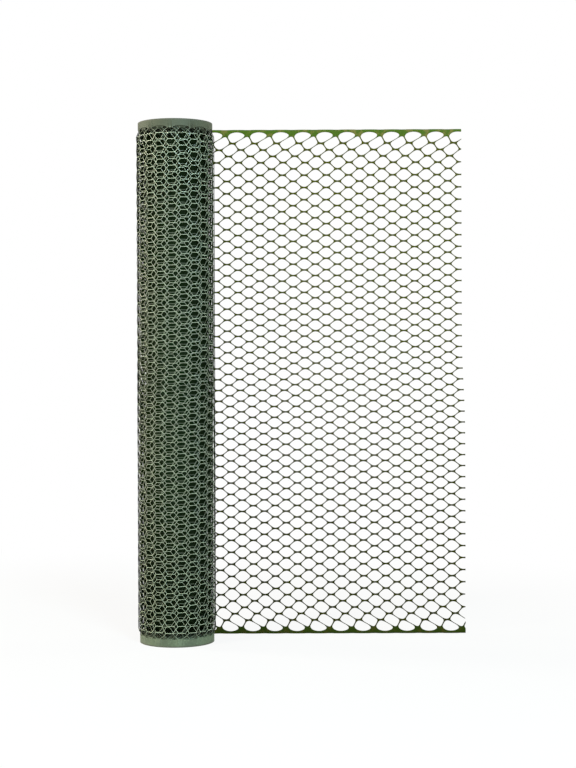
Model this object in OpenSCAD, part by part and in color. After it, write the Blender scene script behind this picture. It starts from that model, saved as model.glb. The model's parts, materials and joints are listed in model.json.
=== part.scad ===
// Roll of extruded plastic poultry netting, standing on its end with its free end drawn out.
// +Z is the axis of the roll, the floor is z = 0, and the free end leaves the back of the roll towards +X.

/* [Roll] */
// Width of the netting, which is the height of the roll
net_h = 914; // [600:1:1220]
// Full length of the netting, rolled and free
net_length = 7620; // [5000:10:12000]
// Length of the free end, from where it leaves the roll
free_len = 512; // [300:1:700]
// Diameter of the hollow up the middle of the roll
bore_d = 50; // [30:1:80]
// Radial pitch of the turns
turn_pitch = 1.9; // [1.7:0.01:2.4]
// How much smaller the radius is at both ends, where the smooth edge strips lie closer than the knots
edge_dip = 3; // [0:0.5:5]

/* [Netting] */
// Thickness of the netting
sheet_t = 1.6; // [1.2:0.1:1.7]
// Distance between neighbouring bars in one row
cell_pitch = 40; // [34:0.5:50]
// Mean distance between rows of bars
row_pitch = 10.4; // [9:0.1:13]
// Length of each bar, where two strands run together
bar_len = 9; // [5:0.5:12]
// Width of each bar
bar_w = 2.3; // [1.6:0.1:3]
// Width of each slanting strand
strand_w = 1.3; // [0.9:0.1:1.8]
// How much wider apart the rows lie at the edges than at mid-height, as a share
edge_spread = 0.2; // [0:0.05:0.4]
// How far the netting in the lower half has crept towards the free edge
creep = 6; // [0:0.5:10]

/* [Edge strips] */
// Height of the solid strip along each edge
strip_h = 5; // [3:0.5:7]
// Height of the strip and its gussets together
gusset_h = 13.5; // [10:0.5:16]
// Width of each gusset where its strands leave it
gusset_w = 9; // [6:0.5:12]
// Height of the first row of bars
first_row = 25; // [22:0.5:30]
// How far the edge strips are drawn ahead of the middle of the netting
edge_drag = 18.6; // [0:0.1:20]
// Thickness of the strips, which are the turns that show on the ends
strip_t = 1.2; // [0.8:0.1:1.4]

/* [Hidden] */
net_green = "#3f5a43";
free_green = "#35521f";
slack = 0.01;          // what a cutting tool overshoots the face it cuts
drag_rows = 1.8;       // rows over which the drag of the edge strips dies away
creep_rows = 3;        // rows over which the creep comes in at mid-height
last_bar = 5;          // from the free edge to the middle of the last bar
root_web = 3;          // unbroken margin where the free end leaves the roll
bands = 4;             // horizontal bands that the free end is divided into
arc_steps = 8;         // straight pieces round the hollow of an edge cell

bore_r = bore_d / 2;
roll_r = sqrt(bore_r ^ 2 + (net_length - free_len) * turn_pitch / PI);
turns = round((roll_r - bore_r) / turn_pitch);
end_r = roll_r - edge_dip;
ring_pitch = (end_r - bore_r - strip_t) / (turns - 1);
rows = round((net_h - 2 * first_row) / row_pitch) + 1;
columns = ceil((free_len + edge_drag) / cell_pitch) + 1;

// Rows count up from the bottom edge: row 0 and row rows + 1 are the gussets, and the rest are bars.
function is_gusset(row) = row == 0 || row == rows + 1;
function from_mid(row) = (2 * row - rows - 1) / (rows - 1);
function spread(u) = (u + edge_spread * u ^ 3 / 3) / (1 + edge_spread / 3);
function row_z(row) =
    row == 0 ? gusset_h - bar_w / 2
    : row == rows + 1 ? net_h - gusset_h + bar_w / 2
    : net_h / 2 + (net_h / 2 - first_row) * spread(from_mid(row));

// Sideways shift of a row: the edge strips lead, and the lower half has crept.
function drag(row) = edge_drag * exp(-min(row, rows + 1 - row) / drag_rows);
function crept(row) = creep / (1 + exp((row - rows / 2) / creep_rows));
function half_step(row) = row % 2 == 1 ? 0 : 0.5;

// The middle and half length of one bar or gusset, counted from the free edge.
function bar_x(row, i) = free_len - last_bar - cell_pitch * (i + half_step(row)) + drag(row) + crept(row);
function half_len(row) = (is_gusset(row) ? gusset_w : bar_len) / 2;
function left_end(row, i) = [bar_x(row, i) - half_len(row), row_z(row)];
function right_end(row, i) = [bar_x(row, i) + half_len(row), row_z(row)];

// Where two lines meet, each moved to its left by its own distance.
function leftward(a, b) = [a.y - b.y, b.x - a.x] / norm(b - a);
function meeting(p, u, q, v) = p + u * cross(q - p, v) / cross(u, v);
function corner(a, b, c, d_in, d_out) =
    meeting(a + leftward(a, b) * d_in, b - a, b + leftward(b, c) * d_out, c - b);

// A closed outline, counter-clockwise, with each of its sides moved inwards by its own distance.
function inset(points, widths) = [
    for (k = [0:len(points) - 1])
        let (before = (k + len(points) - 1) % len(points), after = (k + 1) % len(points))
            corner(points[before], points[k], points[after], widths[before], widths[k])
];

// The opening between bar i + 1 on its left, bar i on its right, and the bars above and below.
function cell(row, i) =
    let (mid = i + 2 * half_step(row), s = strand_w / 2, b = bar_w / 2)
        inset(
            [
                right_end(row, i + 1), left_end(row - 1, mid), right_end(row - 1, mid),
                left_end(row, i), right_end(row + 1, mid), left_end(row + 1, mid)
            ],
            [s, b, s, s, b, s]
        );

// The opening between a strip, its gussets i + 1 and i, and the first bar. up is 1 at the bottom edge.
function edge_cell(row, i, up) =
    let (
        mid = i + 2 * half_step(row),
        left = right_end(row, i + 1) + [0, up * bar_w / 2],
        right = left_end(row, i) + [0, up * bar_w / 2],
        bar_row = row + up,
        bar_side = row_z(bar_row) - up * bar_w / 2,
        edge = up == 1 ? strip_h : net_h - strip_h
    )
    concat(
        [
            for (k = [0:arc_steps])
                let (a = 180 * k / arc_steps)
                    [
                        (left.x + right.x) / 2 - (right.x - left.x) / 2 * cos(a),
                        left.y + (edge - left.y) * sin(a)
                    ]
        ],
        [
            [right_end(bar_row, mid).x - strand_w / 2, bar_side],
            [left_end(bar_row, mid).x + strand_w / 2, bar_side]
        ]
    );

// Half section of the roll: a thick tube, smaller at its ends, which are grooved between the turns.
function ring_r(turn) = bore_r + turn * ring_pitch;
function end_outline(edge, depth) = [
    for (turn = [0:turns - 1])
        each [
            if (turn > 0) [ring_r(turn), depth],
            [ring_r(turn), edge],
            [ring_r(turn) + strip_t, edge],
            if (turn < turns - 1) [ring_r(turn) + strip_t, depth]
        ]
];
function reversed(points) = [for (k = [len(points) - 1:-1:0]) points[k]];

module net_roll() {
    color(net_green)
        difference() {
            rotate_extrude($fn = 180)
                polygon(concat(
                    end_outline(0, strip_h),
                    [[end_r, strip_h], [roll_r, gusset_h]],
                    [[roll_r, net_h - gusset_h], [end_r, net_h - strip_h]],
                    reversed(end_outline(net_h, net_h - strip_h))
                ));
            // The outer turn leaves along the tangent here, one thickness proud of the turn below.
            translate([0, roll_r - sheet_t, -slack])
                cube([roll_r, sheet_t + slack, net_h + 2 * slack]);
        }
}

// One band of the free end, from row first to row last, with its openings cut through the sheet.
function band_z(row) = row < 1 ? 0 : row >= rows ? net_h : (row_z(row) + row_z(row + 1)) / 2;

module free_end(first, last) {
    low = band_z(first - 1);
    high = band_z(last);
    color(free_green)
        translate([0, roll_r, 0])
            rotate([90, 0, 0])
                linear_extrude(height = sheet_t) {
                    translate([0, low]) square([root_web, high - low]);
                    difference() {
                        polygon(concat(
                            [[0, high], [0, low], [free_len + crept(first - 1), low]],
                            [for (row = [first:last]) [free_len + crept(row), row_z(row)]],
                            [[free_len + crept(last + 1), high]]
                        ));
                        for (row = [max(first - 1, 1):min(last + 1, rows)], i = [-1:columns])
                            polygon(cell(row, i));
                        if (first == 1)
                            for (i = [-1:columns]) polygon(edge_cell(0, i, 1));
                        if (last == rows)
                            for (i = [-1:columns]) polygon(edge_cell(rows + 1, i, -1));
                    }
                }
}

module free_end_band(band) {
    free_end(1 + floor(rows * band / bands), floor(rows * (band + 1) / bands));
}

net_roll();
free_end_band(0);  // free_end_bottom
free_end_band(1);  // free_end_lower
free_end_band(2);  // free_end_upper
free_end_band(3);  // free_end_top
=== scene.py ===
import json
import math
import bpy
import numpy as np
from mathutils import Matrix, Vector


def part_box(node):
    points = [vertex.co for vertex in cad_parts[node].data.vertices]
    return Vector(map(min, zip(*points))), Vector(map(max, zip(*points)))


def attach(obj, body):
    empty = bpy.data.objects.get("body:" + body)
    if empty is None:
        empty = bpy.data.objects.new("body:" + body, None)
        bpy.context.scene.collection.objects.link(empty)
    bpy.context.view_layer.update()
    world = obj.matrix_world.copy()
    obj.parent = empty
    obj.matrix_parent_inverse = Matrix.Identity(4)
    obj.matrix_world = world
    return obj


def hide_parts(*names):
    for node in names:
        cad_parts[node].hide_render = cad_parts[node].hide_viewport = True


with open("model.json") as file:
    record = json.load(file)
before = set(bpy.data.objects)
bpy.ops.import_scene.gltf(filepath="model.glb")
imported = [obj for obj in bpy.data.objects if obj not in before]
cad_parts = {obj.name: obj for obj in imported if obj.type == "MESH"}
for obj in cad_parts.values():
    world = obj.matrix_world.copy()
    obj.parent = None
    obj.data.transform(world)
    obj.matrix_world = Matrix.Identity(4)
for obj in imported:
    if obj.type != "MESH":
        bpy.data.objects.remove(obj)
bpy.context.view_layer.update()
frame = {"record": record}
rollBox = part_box("net_roll")
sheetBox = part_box("free_end_top")
bore = next(mount for mount in frame["record"]["mounts"] if mount["kind"] == "bore")

# The netting, its lengths in metres. Its rows are counted up from the bottom edge: row 0 and the row after
# the last are the gussets of the two edge strips, and the others are rows of short bars.
netting = {
    "height": rollBox[1].z,
    "length": 7.62,
    "freeLength": sheetBox[1].x,
    "creep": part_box("free_end_bottom")[1].x - sheetBox[1].x,  # how much further the lower half reaches
    "creepRows": 3,          # how gently the rows at the middle go over from one half to the other
    "rollRadius": rollBox[1].y,
    "boreRadius": bore["dims"]["r_mm"] / 1000,
    "rows": 84,
    "rowPitch": 0.0104,
    "cellPitch": 0.040,
    "barWidth": 0.0023,
    "lastBar": 0.005,        # from the cut edge to the middle of the last bars
    "firstRow": 0.025,
    "edgeSpread": 0.2,       # how much further apart the rows lie at the edges than in the middle
    "edgeDrag": 0.0186,
    "dragRows": 1.8,         # rows over which the drag of the edge strips dies away
    "gussetHeight": 0.0135,
    "gussetWidth": 0.009,
    "stripHeight": 0.005,
    "edgeDip": 0.003,
}
# what winding does to it
windingOf = {
    "takesHold": (-0.05, 0.03),      # where it sets in and is complete, from the end of the free length
    "bottomBand": (0.0130, 0.0152),  # heights of strip and gussets once they are wound
    "topBand": (0.0120, 0.0160),
    "bandClear": 0.0001,             # keeps the pressed edges inside the roll's height
    "bandRim": 50,                   # degrees past which an edge of a band is creased
    "pull": 1.01154,                 # a wound cell's length against a free one's
    "rowDrift": 0.00546,             # how far the rows wander up and down, away from the bands
    "rowWave": 6.615,                # radians of that wandering in each metre
    "rowStart": 1.624,
    "driftFrom": 0.060,              # how far in from the edges the rows wander fully
    "dragLost": 0.8,                 # share of the edges' drag that the winding takes out again
    "dragLostOver": 0.1,
    "pathStep": 4,                   # degrees between the points of the winding's path
}
# a slow unevenness: how often each wave comes in a metre along and up, where it starts, and its size
rippleWaves = ((7.3, 2.1, 0, 1), (11.9, -5.3, 1.7, 0.7), (3.7, 9.1, 0.6, 0.6), (23.7, 17.3, 2.9, 0.35))
rippleSum = sum(wave[3] for wave in rippleWaves)
# where the two ways that the netting wanders read it, a stretch and an offset each, so that they differ
wanderAlong = (1.7, 3)
wanderUp = (1.3, 5)
wanderFull = 0.03    # how far from the cut edge the netting wanders fully
nearly = 1e-6
weldDistance = 1e-5


# working tools
def deselectAll():
    if bpy.context.object and bpy.context.object.mode != "OBJECT":
        bpy.ops.object.mode_set(mode="OBJECT")
    bpy.ops.object.select_all(action="DESELECT")


def activate(piece):
    deselectAll()
    piece.select_set(True)
    bpy.context.view_layer.objects.active = piece


def enterEditing():
    bpy.ops.object.mode_set(mode="EDIT")


def leaveEditing():
    bpy.ops.object.mode_set(mode="OBJECT")


def editAll(piece):
    activate(piece)
    enterEditing()
    bpy.ops.mesh.select_mode(type="VERT")
    bpy.ops.mesh.select_all(action="SELECT")


def pick(piece, kind, test):
    bpy.ops.mesh.select_mode(type=kind)
    bpy.ops.mesh.select_all(action="DESELECT")
    leaveEditing()
    parts = piece.data.vertices if kind == "VERT" else piece.data.polygons
    for part in parts:
        part.select = bool(test(part))
    enterEditing()


def pickVertices(piece, test):
    pick(piece, "VERT", lambda vertex: test(vertex.co))


def pickFaces(piece, test):
    pick(piece, "FACE", test)


def applyModifier(piece, kind, **settings):
    activate(piece)
    modifier = piece.modifiers.new(kind.title(), kind)
    for key, value in settings.items():
        setattr(modifier, key, value)
    bpy.ops.object.modifier_apply(modifier=modifier.name)


def repeatAlong(piece, count, step):
    applyModifier(
        piece, "ARRAY", count=count, use_relative_offset=False,
        use_constant_offset=True, constant_offset_displace=step,
    )


def copyPiece(piece, offset=(0, 0, 0), scale=(1, 1, 1)):
    activate(piece)
    bpy.ops.object.duplicate()
    copy = bpy.context.object
    copy.location = offset
    copy.scale = scale
    bpy.ops.object.transform_apply(location=True, rotation=False, scale=True)
    return copy


def joinPieces(pieces, name):
    activate(pieces[0])
    for piece in pieces:
        piece.select_set(True)
    bpy.ops.object.join()
    pieces[0].name = pieces[0].data.name = name
    return pieces[0]


def removePiece(piece):
    mesh = piece.data
    bpy.data.objects.remove(piece)
    bpy.data.meshes.remove(mesh)


def placesOf(mesh):
    places = np.empty(len(mesh.vertices) * 3)
    mesh.vertices.foreach_get("co", places)
    return places.reshape(-1, 3)


def moveVertices(piece, rule):
    piece.data.vertices.foreach_set("co", rule(placesOf(piece.data)).ravel())
    piece.data.update()


def faceOutwards(piece):
    editAll(piece)
    bpy.ops.mesh.normals_make_consistent(inside=False)
    leaveEditing()


def trim(piece, place, normal):
    # takes away what lies behind the plane and caps the cuts, shaded flat so that no shading runs into them
    editAll(piece)
    bpy.ops.mesh.bisect(plane_co=place, plane_no=normal, clear_inner=True, use_fill=True)
    bpy.ops.mesh.select_mode(type="FACE")
    bpy.ops.mesh.faces_shade_flat()
    leaveEditing()


def smoothStep(value, low, high):
    share = np.clip((value - low) / (high - low), 0, 1)
    return share * share * (3 - 2 * share)


# how the netting is stretched: the height of a row, and how far it has been dragged sideways
def rowHeight(row):
    lastRow = netting["rows"] + 1
    middle = netting["height"] / 2
    spread = netting["edgeSpread"]
    fromMiddle = (2 * row - lastRow) / (netting["rows"] - 1)
    share = (fromMiddle + spread * fromMiddle ** 3 / 3) / (1 + spread / 3)
    between = middle + (middle - netting["firstRow"]) * share
    gusset = netting["gussetHeight"] - netting["barWidth"] / 2

    def nearEdge(rowsIn):
        return gusset + rowsIn * np.where(rowsIn < 0, netting["rowPitch"], netting["firstRow"] - gusset)

    low, high = nearEdge(row), netting["height"] - nearEdge(lastRow - row)
    return np.where(row < 1, low, np.where(row > netting["rows"], high, between))


def dragOf(row):
    rowsIn = np.maximum(0, np.minimum(row, netting["rows"] + 1 - row))
    return netting["edgeDrag"] * np.exp(-rowsIn / netting["dragRows"])


def creepOf(row):
    return netting["creep"] / (1 + np.exp((row - netting["rows"] / 2) / netting["creepRows"]))


def inFromEdgeOf(height):
    return np.minimum(height, netting["height"] - height)


def woundShare(along):
    # nothing on the free end, all of it once the netting is wound
    before, after = windingOf["takesHold"]
    return smoothStep(along, netting["freeLength"] + before, netting["freeLength"] + after)


def undrag(along, row):
    # what is dragged sideways at the edges of the free end lies nearly straight on the roll
    free = netting["freeLength"]
    lost = windingOf["dragLost"] * smoothStep(along, free, free + windingOf["dragLostOver"])
    return along + dragOf(row) * lost


def stretchWound(along, share):
    # wound tight, the cells are pulled a little longer
    free = netting["freeLength"]
    return np.where(along > free, free + (along - free) * share, along)


def edgeDipOf(along, height):
    # how far the edge strips lie inside the knots of the same turn: nothing on the free end or at the hollow
    left = np.clip((netting["length"] - along) / (netting["length"] - netting["freeLength"]), 0, 1)
    atEdges = 1 - smoothStep(inFromEdgeOf(height), netting["gussetHeight"], netting["firstRow"])
    return netting["edgeDip"] * woundShare(along) * left * atEdges


def pressEdges(along, height):
    # wound tight, the edge strips spread into taller bands, and the rows of the turns no longer agree
    firstRow, clear = netting["firstRow"], windingOf["bandClear"]
    inFromEdge = inFromEdgeOf(height)
    flat = [0, netting["stripHeight"], netting["gussetHeight"], firstRow]
    low = np.interp(inFromEdge, flat, [clear, *windingOf["bottomBand"], firstRow])
    high = np.interp(inFromEdge, flat, [clear, *windingOf["topBand"], firstRow])
    inside = inFromEdge > firstRow
    low, high = np.where(inside, inFromEdge, low), np.where(inside, inFromEdge, high)
    pressed = np.where(height < netting["height"] / 2, low, netting["height"] - high)
    drift = windingOf["rowDrift"] * np.sin(along * windingOf["rowWave"] + windingOf["rowStart"])
    pressed = pressed + drift * smoothStep(inFromEdge, netting["gussetHeight"], windingOf["driftFrom"])
    return height + (pressed - height) * woundShare(along)


def ripple(along, height, size):
    waves = 0
    for timesAlong, timesUp, start, share in rippleWaves:
        turned = along * 2 * math.pi * timesAlong + height * 2 * math.pi * timesUp + start
        waves = waves + share * np.sin(turned)
    return size * waves / rippleSum


# how a strand meets its bar and its gusset
junction = {
    "crotch": 0.45,                  # how far beyond a bar's end its strands part, in strand widths
    "root": 1.1,                     # how far in from a gusset's side its strand starts, in strand widths
    "flare": (1.35, 1.8, 2.5, 3.4),  # steps of the flare, in half gusset widths from the gusset's middle
    "endsFrom": 0.75,                # share of a cell past which a gusset has only its strands' ends
}


def acrossStrandOf(weight):
    alongStrand = np.array([netting["cellPitch"] / 2 - weight["barLength"], netting["rowPitch"]])
    alongStrand /= np.linalg.norm(alongStrand)
    return np.array([-alongStrand[1], alongStrand[0]])


def strandShare(weight):
    # how far a strand's thickness lies on the way from a strip's to a knot's
    strip = weight["stripThickness"]
    return (weight["strandThickness"] - strip) / (weight["knotThickness"] - strip)


# one knot, flat: a short bar with half of each of its four strands
def makeKnot(weight):
    strand = weight["strand"]
    halfPitch, rise = netting["cellPitch"] / 2, netting["rowPitch"]
    across = acrossStrandOf(weight)
    crotch = weight["barLength"] / 2 + strand * junction["crotch"]
    shoulder = np.array([crotch, 0]) + across * strand * weight["stout"]
    deselectAll()
    bpy.ops.mesh.primitive_plane_add(size=1)
    knot = bpy.context.object
    enterEditing()
    bpy.ops.transform.resize(value=(2 * shoulder[0], 2 * shoulder[1], 1))
    bpy.ops.mesh.bisect(plane_co=(0, 0, 0), plane_no=(0, 1, 0))
    for sideX in (-1, 1):
        for sideY in (-1, 1):
            pickVertices(knot, lambda p: abs(p.x - sideX * shoulder[0]) < nearly and p.y * sideY > -nearly)
            bpy.ops.mesh.extrude_region_move(
                TRANSFORM_OT_translate={"value": (sideX * halfPitch, sideY * rise, 0)}
            )
    leaveEditing()

    def placeEnds(places):
        # the four ends are turned square to their strands, half way to the next knot
        side = np.sign(places[:, :2])
        far = np.abs(places[:, 0]) > halfPitch
        inner = far & (np.abs(np.abs(places[:, 1]) - rise) < nearly)
        end = np.array([halfPitch / 2, rise / 2])
        places[inner, :2] = side[inner] * (end - across * strand / 2)
        outer = far & ~inner
        places[outer, :2] = side[outer] * (end + across * strand / 2)
        middle = ~far & (np.abs(places[:, 1]) < nearly)
        places[middle, 0] = side[middle, 0] * crotch
        return places

    moveVertices(knot, placeEnds)
    thick = knot.vertex_groups.new(name="thick")
    for vertex in knot.data.vertices:
        share = 1 if abs(vertex.co.x) < crotch + nearly else strandShare(weight)
        thick.add([vertex.index], share, "REPLACE")
    return knot


# one gusset, flat: a cell's width of the edge strip, its flare, and the two half strands that leave it
def makeGusset(weight):
    strand = weight["strand"]
    pitch, rise = netting["cellPitch"], netting["rowPitch"]
    halfTop = netting["gussetWidth"] / 2
    root = halfTop - strand * junction["root"]
    low, top = netting["barWidth"] / 2 - netting["gussetHeight"], netting["barWidth"] / 2
    steps = [0, root, halfTop] + [halfTop * share for share in junction["flare"]] + [pitch / 2]
    steps = np.array([-step for step in steps[:0:-1]] + steps)
    deselectAll()
    bpy.ops.mesh.primitive_grid_add(x_subdivisions=len(steps) - 1, y_subdivisions=1, size=1)
    gusset = bpy.context.object

    def openingEdge(x):
        across = (np.abs(x) - pitch / 2) / (pitch / 2 - halfTop)
        depth = (netting["gussetHeight"] - netting["stripHeight"]) * np.sqrt(np.clip(1 - across ** 2, 0, 1))
        return np.where(np.abs(x) > halfTop, top - depth, top)

    def placeFlare(places):
        column = np.rint((places[:, 0] + 0.5) * (len(steps) - 1)).astype(int)
        places[:, 0] = steps[column]
        places[:, 1] = np.where(places[:, 1] < 0, low, openingEdge(places[:, 0]))
        return places

    moveVertices(gusset, placeFlare)
    enterEditing()
    for side in (-1, 1):
        pickVertices(gusset, lambda p: root - nearly < p.x * side < halfTop + nearly and p.y > top - nearly)
        bpy.ops.mesh.extrude_region_move(TRANSFORM_OT_translate={"value": (side * pitch, rise, 0)})
    leaveEditing()
    half = acrossStrandOf(weight) * strand / 2
    end = np.array([pitch / 4, rise / 2])

    def placeEnds(places):
        far = np.abs(places[:, 0]) > pitch * junction["endsFrom"]
        side = np.stack([np.sign(places[:, 0]), np.ones(len(places))], 1)
        outer = far & (np.abs(places[:, 0]) - pitch > halfTop - nearly)
        inner = far & ~outer
        places[inner, :2] = side[inner] * (end + half)
        places[outer, :2] = side[outer] * (end - half)
        return places

    moveVertices(gusset, placeEnds)
    thick = gusset.vertex_groups.new(name="thick")
    above = [vertex.index for vertex in gusset.data.vertices if vertex.co.y > top + nearly]
    thick.add(above, strandShare(weight), "REPLACE")
    return gusset


def creaseBands(sheet):
    # the wound edge bands are flat: their rims are creased, so that no shading runs across them
    mesh = sheet.data
    editAll(sheet)
    bpy.ops.mesh.select_mode(type="EDGE")
    bpy.ops.mesh.select_all(action="DESELECT")
    bpy.ops.mesh.edges_select_sharp(sharpness=math.radians(windingOf["bandRim"]))
    leaveEditing()
    height = placesOf(mesh)[:, 2]
    inBand = (height < windingOf["bottomBand"][1]) | (height > netting["height"] - windingOf["topBand"][1])
    ends = np.empty(len(mesh.edges) * 2, int)
    mesh.edges.foreach_get("vertices", ends)
    chosen = np.empty(len(mesh.edges), bool)
    mesh.edges.foreach_get("select", chosen)
    mesh.edges.foreach_set("select", chosen & inBand[ends.reshape(-1, 2)].all(axis=1))
    enterEditing()
    bpy.ops.mesh.mark_sharp()
    leaveEditing()


def layFlat(name, weight, rows, columns):
    # knots in rows and columns, with the gussets of the edges that the rows reach, welded where strands meet
    pitch, rise = netting["cellPitch"], netting["rowPitch"]
    pair = [
        copyPiece(weight["knot"], (0, rows[0] * rise, 0)),
        copyPiece(weight["knot"], (pitch / 2, (rows[0] + 1) * rise, 0)),
    ]
    parts = [joinPieces(pair, name)]
    repeatAlong(parts[0], (rows[1] - rows[0] + 1) // 2, (0, 2 * rise, 0))
    if rows[0] == 1:
        parts.append(copyPiece(weight["gusset"], (pitch / 2, 0, 0)))
    if rows[1] == netting["rows"]:
        parts.append(copyPiece(weight["gusset"], (0, (netting["rows"] + 1) * rise, 0), (1, -1, 1)))
    sheet = joinPieces(parts, name)
    repeatAlong(sheet, columns, (pitch, 0, 0))
    editAll(sheet)
    bpy.ops.mesh.remove_doubles(threshold=weldDistance)
    bpy.ops.mesh.normals_make_consistent(inside=False)
    leaveEditing()
    return sheet


def makeSheet(name, start, end, weight, rows=None, rounded=False, between=(None, None)):
    # a stretch of netting, standing flat on edge: X is the way along it, Z its height
    pitch, rise, creep = netting["cellPitch"], netting["rowPitch"], netting["creep"]
    origin = creep + netting["lastBar"]
    flatStart, flatEnd = stretchWound(np.array([start, end]), 1 / windingOf["pull"])
    firstColumn = max(0, math.floor((flatStart - origin) / pitch) - 1)
    columns = math.ceil((flatEnd + netting["edgeDrag"] + creep - origin) / pitch) + 1 - firstColumn
    sheet = layFlat(name, weight, rows or (1, netting["rows"]), columns)

    def stretch(places):
        row = places[:, 1] / rise
        along = origin + firstColumn * pitch + places[:, 0] - dragOf(row)
        return np.stack([along, rowHeight(row), row], 1)

    moveVertices(sheet, stretch)      # the row is kept in Z until the creep is laid on
    if firstColumn == 0:
        editAll(sheet)
        bpy.ops.mesh.bisect(plane_co=(creep, 0, 0), plane_no=(1, 0, 0), clear_inner=True)
        leaveEditing()

    def standUp(places):
        height, row = places[:, 1], places[:, 2]
        along = undrag(stretchWound(places[:, 0] - creepOf(row), windingOf["pull"]), row)
        loose = inFromEdgeOf(height) > netting["gussetHeight"]
        alongShift = ripple(along, height * wanderAlong[0] + wanderAlong[1], weight["wander"])
        alongShift = alongShift * smoothStep(along, 0, wanderFull)
        heightShift = ripple(along * wanderUp[0] + wanderUp[1], height, weight["wander"])
        heightShift = np.where(loose, heightShift, 0)
        depth = edgeDipOf(along, height) + weight["wave"] + ripple(along, height, weight["wave"])
        return np.stack([along + alongShift, depth, pressEdges(along, height + heightShift)], 1)

    moveVertices(sheet, standUp)
    applyModifier(
        sheet, "SOLIDIFY", thickness=weight["knotThickness"], offset=0, vertex_group="thick",
        thickness_vertex_group=weight["stripThickness"] / weight["knotThickness"],
    )
    if rounded:
        applyModifier(sheet, "SUBSURF", levels=1, render_levels=1)
    activate(sheet)
    bpy.ops.object.shade_smooth()
    if not rounded:
        creaseBands(sheet)
    if firstColumn > 0:
        trim(sheet, (start, 0, 0), (1, 0, 0))
    trim(sheet, (end, 0, 0), (-1, 0, 0))
    bottom, top = between
    if bottom is not None:
        trim(sheet, (0, 0, bottom), (0, 0, 1))
    if top is not None:
        trim(sheet, (0, 0, top), (0, 0, -1))
    return sheet


# the way that the netting takes: straight along the free end, then wound round the hollow
def makeWindingPath(radius):
    points = [(netting["freeLength"] + netting["creep"], radius)]
    turned, walked, step = 0.0, 0.0, math.radians(windingOf["pathStep"])
    while walked < netting["length"] - netting["freeLength"] + netting["cellPitch"]:
        reach = radius - turnPitch * turned / (2 * math.pi)
        points.append((-reach * math.sin(turned), reach * math.cos(turned)))
        walked += reach * step
        turned += step
    curve = bpy.data.curves.new("windingPath", "CURVE")
    curve.dimensions = "3D"
    curve.twist_mode = "Z_UP"
    spline = curve.splines.new("POLY")
    spline.points.add(len(points) - 1)
    for point, (x, y) in zip(spline.points, points):
        point.co = (x, y, 0, 1)
    route = bpy.data.objects.new("windingPath", curve)
    bpy.context.scene.collection.objects.link(route)
    return route


def windUp(sheet):
    applyModifier(sheet, "CURVE", object=windingPath, deform_axis="POS_X")
    faceOutwards(sheet)
    return sheet


freeEnd = {
    "strand": 0.0018,
    "barLength": 0.0081,
    "stout": 0.86,           # half a bar's width, in strands
    "knotThickness": 0.0018,
    "strandThickness": 0.0013,
    "stripThickness": 0.0012,
    "wander": 0.0004,
    "wave": 0.0,
    "spareRows": 2,          # rows of each half that are laid out beyond the seam between them
}
rolledTurns = {
    "strand": 0.00098,
    "barLength": 0.0118,     # wound bars are the longer ones
    "stout": 0.5,
    "knotThickness": 0.0014,
    "strandThickness": 0.0013,
    "stripThickness": 0.0008,
    "wander": 0.0005,
    "wave": 0.0002,
    "outer": 8,              # turns that can be seen into from outside
    "inner": 3,              # turns seen in the hollow
    "endRows": 4,            # rows of the turns between that can be seen down into at the ends
}
for weight in (freeEnd, rolledTurns):
    weight["knot"] = makeKnot(weight)
    weight["gusset"] = makeGusset(weight)
print("knots and gussets ready")

# the middle of the netting where it starts to go round and where it ends, and how far apart its turns lie
outerRadius = netting["rollRadius"] - freeEnd["knotThickness"] / 2
innerRadius = netting["boreRadius"] + rolledTurns["knotThickness"] / 2
turnPitch = math.pi * (outerRadius ** 2 - innerRadius ** 2) / (netting["length"] - netting["freeLength"])
windingPath = makeWindingPath(outerRadius)
pieces = []    # each with the plastic it is made of and the CAD nodes it stands for


def makeFreeEnd():
    # two halves that meet on a seam, each laid out some rows beyond it and trimmed there
    seam = netting["height"] / 2
    end = netting["freeLength"] + netting["creep"]
    halfRows, spareRows = netting["rows"] // 2, freeEnd["spareRows"]
    lowerRows = (1, halfRows + spareRows)
    upperRows = (halfRows + 1 - spareRows, netting["rows"])
    lower = makeSheet("freeEndLower", 0, end, freeEnd, lowerRows, True, (None, seam))
    upper = makeSheet("freeEndUpper", 0, end, freeEnd, upperRows, True, (seam, None))
    pieces.append((windUp(lower), "free", ["free_end_bottom", "free_end_lower"]))
    pieces.append((windUp(upper), "free", ["free_end_upper", "free_end_top"]))


def makeTurns():
    outer, inner, endRows = rolledTurns["outer"], rolledTurns["inner"], rolledTurns["endRows"]
    start = netting["freeLength"] + netting["creep"]
    for turn in range(outer):
        end = start + 2 * math.pi * (outerRadius - turnPitch * (turn + 0.5))
        piece = makeSheet(f"outerTurn{turn + 1}", start, end, rolledTurns)
        pieces.append((windUp(piece), "rolled", ["net_roll"] if turn == 0 else []))
        start = end
    innerStart = netting["length"] - 2 * math.pi * inner * (innerRadius + turnPitch * inner / 2)
    innermost = makeSheet("innerTurns", innerStart, netting["length"], rolledTurns)
    pieces.append((windUp(innermost), "rolled", []))
    rowsAt = {
        "hiddenTurnsBottom": (1, endRows),
        "hiddenTurnsTop": (netting["rows"] + 1 - endRows, netting["rows"]),
    }
    for name, rows in rowsAt.items():
        pieces.append((windUp(makeSheet(name, start, innerStart, rolledTurns, rows)), "rolled", []))


hiddenTurns = {
    "clear": 0.6,            # from the last turn that is modelled, in turns
    "endGap": 0.030,
    "sides": 96,
    "sharpFrom": 40,         # degrees
}


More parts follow.
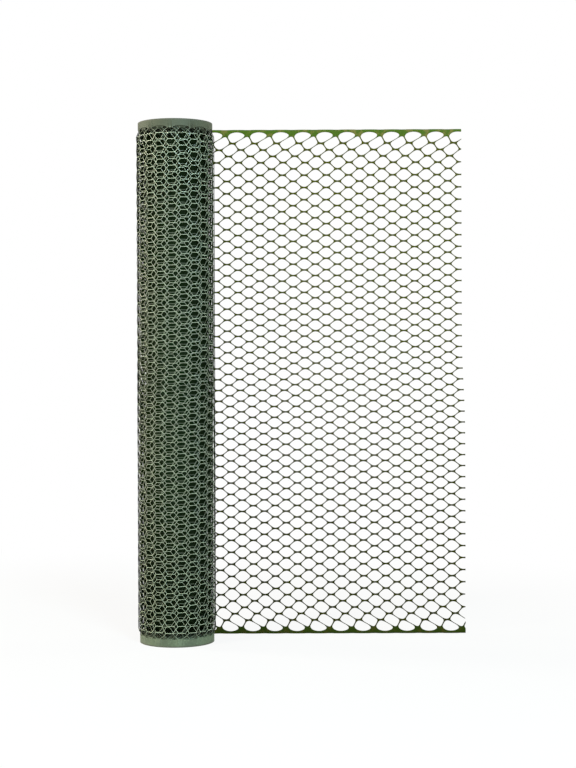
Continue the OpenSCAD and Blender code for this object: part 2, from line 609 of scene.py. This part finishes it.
def makeCore():
    # the turns that no view reaches are one core, with its hollow, painted dark as the shade between turns
    outside = outerRadius - turnPitch * (rolledTurns["outer"] + hiddenTurns["clear"])
    inside = innerRadius + turnPitch * (rolledTurns["inner"] + hiddenTurns["clear"])
    deselectAll()
    bpy.ops.mesh.primitive_cylinder_add(
        vertices=hiddenTurns["sides"], radius=outside, depth=netting["height"] - 2 * hiddenTurns["endGap"],
        location=(0, 0, netting["height"] / 2),
    )
    core = bpy.context.object
    bpy.ops.object.transform_apply(location=True, rotation=False, scale=False)
    core.name = core.data.name = "hiddenTurnsCore"
    editAll(core)
    pickFaces(core, lambda face: abs(face.normal.z) > 0.5)
    bpy.ops.mesh.inset(thickness=outside - inside)
    bpy.ops.mesh.bridge_edge_loops()
    leaveEditing()
    bpy.ops.object.shade_smooth_by_angle(angle=math.radians(hiddenTurns["sharpFrom"]))
    pieces.append((core, "rolled", []))


makeFreeEnd()
makeTurns()
makeCore()
for weight in (freeEnd, rolledTurns):
    removePiece(weight["knot"])
    removePiece(weight["gusset"])
bpy.data.objects.remove(windingPath)
print("geometry ready")


# shader maths: a socket that takes part in ordinary arithmetic
class Signal:
    def __init__(self, shading, socket):
        self.shading = shading
        self.socket = socket

    def join(self, operation, first, second):
        return self.shading.maths(operation, first, second)

    def __add__(self, other):
        return self.join("ADD", self, other)

    def __sub__(self, other):
        return self.join("SUBTRACT", self, other)

    def __rsub__(self, other):
        return self.join("SUBTRACT", other, self)

    def __mul__(self, other):
        return self.join("MULTIPLY", self, other)

    __radd__ = __add__
    __rmul__ = __mul__


class Node:
    def __init__(self, shading, made):
        self.shading = shading
        self.made = made

    def out(self, name):
        return Signal(self.shading, self.made.outputs[name])


class Shading:
    def __init__(self, owner):
        owner.use_nodes = True
        self.tree = owner.node_tree

    def node(self, kind, settings, inputs):
        made = self.tree.nodes.new(kind)
        for key, value in settings.items():
            setattr(made, key, value)
        self.feed(made.inputs, inputs)
        return Node(self, made)

    def feed(self, sockets, inputs):
        for key, value in inputs.items():
            if isinstance(value, Signal):
                self.tree.links.new(value.socket, sockets[key])
            else:
                sockets[key].default_value = value

    def maths(self, operation, *values):
        return self.node("ShaderNodeMath", {"operation": operation}, dict(enumerate(values))).out("Value")

    def vectors(self, operation, *values):
        return self.node("ShaderNodeVectorMath", {"operation": operation}, dict(enumerate(values)))

    def noise(self, place, scale, detail, roughness):
        inputs = {"Vector": place, "Scale": scale, "Detail": detail, "Roughness": roughness}
        return self.node("ShaderNodeTexNoise", {}, inputs).out("Fac")

    def range(self, value, low, high, newLow=0.0, newHigh=1.0):
        settings = {"interpolation_type": "SMOOTHSTEP"}
        inputs = {"Value": value, 1: low, 2: high, 3: newLow, 4: newHigh}
        return self.node("ShaderNodeMapRange", settings, inputs).out("Result")

    def mix(self, factor, first, second):
        made = self.node("ShaderNodeMix", {"data_type": "RGBA"}, {}).made
        sockets = {socket.name: socket for socket in made.inputs if socket.enabled}
        self.feed(sockets, {"Factor": factor, "A": first, "B": second})
        return Signal(self, next(socket for socket in made.outputs if socket.enabled))

    def blend(self, factor, first, second):
        mixed = self.node("ShaderNodeMixShader", {}, {0: factor, 1: first, 2: second})
        self.feed(self.tree.nodes["Material Output"].inputs, {"Surface": mixed.out("Shader")})


def colour(red, green, blue):
    return (red, green, blue, 1)


# what both plastics have in their grain; a noise has its scale, detail and roughness
grain = {
    "patches": (28, 3, 0.6),
    "patchSpan": (0.35, 0.68),
    "specks": (420, 2, 0.6),
    "speckSpan": (0.52, 0.80),
    "speckShare": 0.75,
    "speckRoughness": 0.12,
    "flow": (1500, 2, 0.5),
    "flowShare": 0.6,
    "bump": {"Strength": 0.25, "Distance": 0.0003},
}
# rolledLook and freeLook are one plastic; the rolled one's base colours are painted lighter than the free
# one's, as painted light
rolledLook = {
    "shade": colour(0.070, 0.096, 0.050),
    "green": colour(0.100, 0.135, 0.070),
    "pale": colour(0.180, 0.230, 0.130),
    # painted shade: the top band is painted darker than the bottom one
    "paintedTopBandShade": colour(0.022, 0.027, 0.006),
    "upperBetween": (0.2, 0.8),
    "upperShare": 0.75,
    "rim": colour(0.062, 0.066, 0.040),
    "rimWithin": (0.0032, 0.0014),
    "rimShare": 0.8,
    "bandWithin": (0.024, 0.012),
    # ridge is a painted highlight along the backs of the wound strands, flank is painted shade down their
    # flanks
    "ridge": colour(0.670, 0.765, 0.520),
    "flank": colour(0.012, 0.022, 0.007),
    # painted shade between the turns, in the hidden core and down the strands' flanks
    "paintedDeepShade": colour(0.010, 0.018, 0.006),
    "deepRoughness": 0.9,
    "roughness": (0.10, 0.19),
    "endRoughness": 0.74,
    "specular": 0.8,
    # ridgeFrom: where across a strand the painted shade of the flank turns into the painted highlight;
    # flankFrom: where the painted dark of the flank gives way
    "ridgeFrom": (0.888, 0.992),
    "flankFrom": (0.68, 0.92),
    "seenFrom": 0.0084,      # how far down into the turns the strands are spared the painted shade
    "seenFully": 0.35,       # share of that depth that has no painted shade at all
}
freeLook = {
    "shade": colour(0.019, 0.020, 0.001),
    "green": colour(0.030, 0.031, 0.001),
    "pale": colour(0.080, 0.084, 0.003),
    "paintedTopLight": 0.55,       # how much paler the upper part of the free end is painted, as painted light
    "upperBetween": (0.1, 0.8),
    "edgeGreen": (colour(0.022, 0.038, 0.002), colour(0.060, 0.110, 0.008)),   # at the bottom and the top, the top ones painted lighter as painted light
    "edgeBrown": (colour(0.046, 0.044, 0.005), colour(0.150, 0.138, 0.030)),
    "stains": (90, 3, 0.6),
    "stainSpan": (0.48, 0.66),
    "stripWithin": (0.020, 0.011),
    "roughness": (0.42, 0.60),
    "specular": 0.06,
}


def startPlastic(name, look):
    # what both plastics share: patches of deeper and paler green, and where on the netting a point lies
    material = bpy.data.materials.new(name)
    shading = Shading(material)
    place = shading.node("ShaderNodeTexCoord", {}, {}).out("Object")
    height = shading.node("ShaderNodeSeparateXYZ", {}, {"Vector": place}).out("Z")
    patches = shading.noise(place, *grain["patches"])
    specks = shading.noise(place, *grain["specks"])
    tint = shading.mix(shading.range(patches, *grain["patchSpan"]), look["shade"], look["green"])
    speckled = shading.range(specks, *grain["speckSpan"], 0, grain["speckShare"])
    low, high = look["roughness"]
    return {
        "material": material,
        "shading": shading,
        "place": place,
        "height": height,
        "fromMiddle": shading.maths("ABSOLUTE", height - netting["height"] / 2),
        "specks": specks,
        "tint": shading.mix(speckled, tint, look["pale"]),
        "roughness": low + (high - low) * patches + grain["speckRoughness"] * specks,
    }


def nearEdges(plastic, within, most=1):
    # nothing in the middle, and all of it once a point lies as near to an edge as the second distance
    edge = netting["height"] / 2
    return plastic["shading"].range(plastic["fromMiddle"], edge - within[0], edge - within[1], 0, most)


def finishPlastic(plastic, look, tint, roughness):
    # fine flow marks on a satin surface
    shading = plastic["shading"]
    flow = shading.noise(plastic["place"], *grain["flow"])
    relief = flow * grain["flowShare"] + plastic["specks"]
    bump = shading.node("ShaderNodeBump", {}, {**grain["bump"], "Height": relief})
    shader = shading.tree.nodes["Principled BSDF"]
    shading.feed(shader.inputs, {
        "Base Color": tint,
        "Roughness": roughness,
        "Specular IOR Level": look["specular"],
        "Normal": bump.out("Normal"),
    })
    return Signal(shading, shader.outputs[0])


def makeFreePlastic():
    # the free strips are green with brown patches, and like the strands painted darker at the bottom and
    # lighter at the top, as painted light and shade
    look = freeLook
    plastic = startPlastic("freePlastic", look)
    shading = plastic["shading"]
    # painted light: the upper part of the free end is painted paler
    upper = shading.range(plastic["height"], *look["upperBetween"])
    stain = shading.range(shading.noise(plastic["place"], *look["stains"]), *look["stainSpan"])
    pairs = zip(look["edgeGreen"], look["edgeBrown"])
    low, high = (shading.mix(stain, green, brown) for green, brown in pairs)
    tint = shading.mix(upper * look["paintedTopLight"], plastic["tint"], look["pale"])
    tint = shading.mix(nearEdges(plastic, look["stripWithin"]), tint, shading.mix(upper, low, high))
    finishPlastic(plastic, look, tint, plastic["roughness"])
    return plastic["material"]


def makeRolledPlastic():
    look = rolledLook
    plastic = startPlastic("rolledPlastic", look)
    shading = plastic["shading"]
    # the strands are painted pale along their backs as a painted highlight and dark down their flanks as
    # painted shade; the end bands are neither
    flat = shading.vectors("MULTIPLY", plastic["place"], (1, 1, 0)).out("Vector")
    outwards = shading.vectors("NORMALIZE", flat).out("Vector")
    facing = shading.node("ShaderNodeNewGeometry", {}, {}).out("Normal")
    back = shading.maths("ABSOLUTE", shading.vectors("DOT_PRODUCT", outwards, facing).out("Value"))
    paintedRidgeLightFlankShade = shading.mix(shading.range(back, *look["ridgeFrom"]), look["flank"], look["ridge"])
    atEnds = nearEdges(plastic, look["bandWithin"])
    # painted shade: the top band is painted darker
    upper = shading.range(plastic["height"], *look["upperBetween"], 0, look["upperShare"])
    tint = shading.mix(upper, plastic["tint"], look["paintedTopBandShade"])
    tint = shading.mix(nearEdges(plastic, look["rimWithin"], look["rimShare"]), tint, look["rim"])
    tint = shading.mix(atEnds, paintedRidgeLightFlankShade, tint)
    roughness = plastic["roughness"]
    roughness = roughness + (look["endRoughness"] - roughness) * atEnds
    shader = finishPlastic(plastic, look, tint, roughness)
    # between the turns and down the strands' flanks it is painted dark as shade, apart from the two ends and
    # the hollow, where they lie open
    radius = shading.vectors("LENGTH", flat).out("Value")
    reach = look["seenFrom"]
    lit = shading.maths(
        "MAXIMUM", shading.range(radius, outerRadius - reach, outerRadius - reach * look["seenFully"]),
        shading.range(radius, innerRadius, innerRadius + reach, 1, 0),
    )
    lit = shading.maths("MAXIMUM", lit * shading.range(back, *look["flankFrom"]), atEnds)
    paintedDeepShade = shading.node("ShaderNodeBsdfPrincipled", {}, {
        "Base Color": look["paintedDeepShade"], "Roughness": look["deepRoughness"], "Specular IOR Level": 0,
    })
    shading.blend(lit, paintedDeepShade.out("BSDF"), shader)
    return plastic["material"]


def dress(piece, material, nodes):
    piece.data.materials.clear()
    piece.data.materials.append(material)
    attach(piece, "root")
    if nodes:
        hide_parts(*nodes)
    triangles = sum(len(face.vertices) - 2 for face in piece.data.polygons)
    print("made", piece.name, "with", triangles, "triangles")


plastics = {"rolled": makeRolledPlastic(), "free": makeFreePlastic()}
for piece, plastic, nodes in pieces:
    dress(piece, plastics[plastic], nodes)
print("materials ready")

# floor, light and camera
studio = {
    "world": 0.15,
    "backdrop": colour(1, 1, 1),
    "floorSize": 40,
    "floorColour": colour(0.82, 0.82, 0.81),
    "floorRoughness": 0.9,
    "floorWhite": 0.88,           # how far the floor goes over into the backdrop under the roll
    "floorFade": (0.5, 1.4),      # between which distances from the roll it goes over wholly
    "aimAside": 0.05,
    "lamps": {
        "warmLeft": {"place": (-1.86, -1.56, 1.85), "size": (0.6, 1.2), "power": 46, "tone": (1, 0.93, 0.74)},
        "backLeft": {"place": (-2.4, 0.7, 0.9), "size": (0.5, 2.2), "power": 50, "tone": (1, 0.93, 0.78)},
        "coolFront": {"place": (0.95, -2.35, 1.95), "size": (0.6, 1.0), "power": 78, "tone": (0.63, 0.88, 1)},
        "softRight": {"place": (2.4, 0.8, 1.0), "size": (0.5, 2.2), "power": 17, "tone": (1, 0.97, 0.66)},
    },
}
# its place in metres, its lens in millimetres and its turn in degrees
camera = {"aside": 0.207, "back": -2.673, "height": 0.4886, "lens": 70.9, "turn": (89.27, 0.21, 0.21)}


def seenRays(shading):
    # what the camera sees, also in glossy and through clear things
    rays = shading.node("ShaderNodeLightPath", {}, {})
    return rays.out("Is Camera Ray") + rays.out("Is Glossy Ray") + rays.out("Is Transmission Ray")


def makeFloor():
    deselectAll()
    bpy.ops.mesh.primitive_plane_add(size=studio["floorSize"], location=(0, 0, 0))
    floor = bpy.context.object
    floor.name = "floor"
    paint = bpy.data.materials.new("floorPaint")
    shading = Shading(paint)
    shader = paint.node_tree.nodes["Principled BSDF"]
    shading.feed(shader.inputs, {"Base Color": studio["floorColour"], "Roughness": studio["floorRoughness"]})
    glow = shading.node("ShaderNodeEmission", {}, {"Color": studio["backdrop"], "Strength": 1.0})
    # away from the roll and its shadow the floor goes over into the white of the backdrop
    place = shading.node("ShaderNodeTexCoord", {}, {}).out("Object")
    away = shading.vectors("LENGTH", place).out("Value")
    white = shading.range(away, *studio["floorFade"], studio["floorWhite"], 1)
    shading.blend(seenRays(shading) * white, Signal(shading, shader.outputs[0]), glow.out("Emission"))
    floor.data.materials.append(paint)


def makeWorld():
    world = bpy.data.worlds.new("studio")
    bpy.context.scene.world = world
    shading = Shading(world)
    strength = studio["world"] + (1 - studio["world"]) * seenRays(shading)
    background = world.node_tree.nodes["Background"]
    shading.feed(background.inputs, {"Color": studio["backdrop"], "Strength": strength})


def addLamp(name, place, size, power, tone):
    data = bpy.data.lights.new(name, "AREA")
    data.shape = "RECTANGLE"
    data.size, data.size_y = size
    data.energy, data.color = power, tone
    lamp = bpy.data.objects.new(name, data)
    lamp.location = place
    aim = Vector((studio["aimAside"], 0, netting["height"] / 2)) - lamp.location
    lamp.rotation_euler = aim.to_track_quat("-Z", "Y").to_euler()
    bpy.context.scene.collection.objects.link(lamp)


def addCamera():
    data = bpy.data.cameras.new("camera")
    data.lens = camera["lens"]
    placed = bpy.data.objects.new("camera", data)
    placed.location = (camera["aside"], camera["back"], camera["height"])
    placed.rotation_euler = [math.radians(angle) for angle in camera["turn"]]
    bpy.context.scene.collection.objects.link(placed)
    bpy.context.scene.camera = placed


makeFloor()
makeWorld()
for name, lamp in studio["lamps"].items():
    addLamp(name, **lamp)
addCamera()
bpy.context.scene.view_settings.view_transform = "Standard"
print("studio ready")
